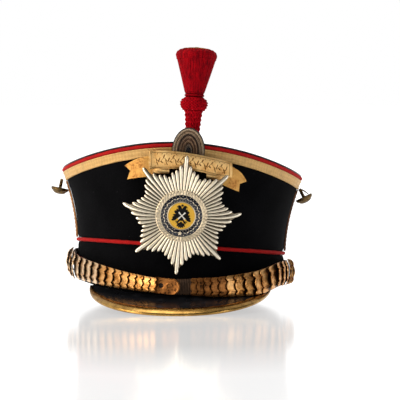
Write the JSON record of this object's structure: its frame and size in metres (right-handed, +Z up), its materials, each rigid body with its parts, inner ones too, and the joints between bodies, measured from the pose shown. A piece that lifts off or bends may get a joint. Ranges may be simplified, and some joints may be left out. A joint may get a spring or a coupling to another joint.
{
  "type": "military hat",
  "caption": "Ceremonial shako: flared black cloth crown, brass-bound patent peak, chin scales, eight-pointed star badge, gilt scroll and red plume.",
  "frame": {"origin": "middle of the hat's bounding box, on the surface that it stands on", "axes": "the wearer faces -Y, +X to the right of someone who looks at the hat's front, +Z up; the hat rests on its peak and the back of its band, tilted back a little"},
  "size_m": [0.2126, 0.2592, 0.2035],
  "materials": {
    "black_cloth": "matte",
    "red_cord": "matte",
    "gold_lace": "satin",
    "patent_leather": "gloss",
    "tan_leather": "satin",
    "brass": "polished",
    "dark_brass": "satin",
    "strap_leather": "matte",
    "gilt": "polished",
    "silver": "polished",
    "black_enamel": "gloss",
    "gold_enamel": "gloss",
    "white_enamel": "gloss",
    "bullion": "satin"
  },
  "bodies": {
    "root": {"crown_wall": "black_cloth", "lower_band": "black_cloth", "band_piping": "red_cord", "top_piping": "red_cord", "plume_stem": "red_cord", "plume_knob": "red_cord", "plume_brush": "red_cord", "galloon": "gold_lace", "crown_top": "patent_leather", "peak": "patent_leather", "side_strip_left": "tan_leather", "side_strip_right": "tan_leather", "peak_binding": "brass", "chin_plate": "brass", "scale_left_01": "brass", "scale_left_02": "brass", "scale_left_03": "brass", "scale_left_04": "brass", "scale_left_05": "brass", "scale_left_06": "brass", "scale_left_07": "brass", "scale_left_08": "brass", "scale_left_09": "brass", "scale_left_10": "brass", "scale_left_11": "brass", "scale_left_12": "brass", "scale_left_13": "brass", "scale_left_14": "brass", "scale_left_15": "brass", "scale_right_01": "brass", "scale_right_02": "brass", "scale_right_03": "brass", "scale_right_04": "brass", "scale_right_05": "brass", "scale_right_06": "brass", "scale_right_07": "brass", "scale_right_08": "brass", "scale_right_09": "brass", "scale_right_10": "brass", "scale_right_11": "brass", "scale_right_12": "brass", "scale_right_13": "brass", "scale_right_14": "brass", "scale_right_15": "brass", "scale_right_16": "brass", "scale_right_17": "brass", "side_button_left": "dark_brass", "side_button_right": "dark_brass", "chin_boss_left": "dark_brass", "chin_boss_right": "dark_brass", "chin_strap_left": "strap_leather", "chin_strap_right": "strap_leather", "scroll": "gilt", "star_rays": "silver", "star_wreath": "silver", "star_ring": "black_enamel", "star_eagle": "black_enamel", "star_disc": "gold_enamel", "star_cross": "white_enamel", "cockade": "bullion"}
  },
  "joints": []
}
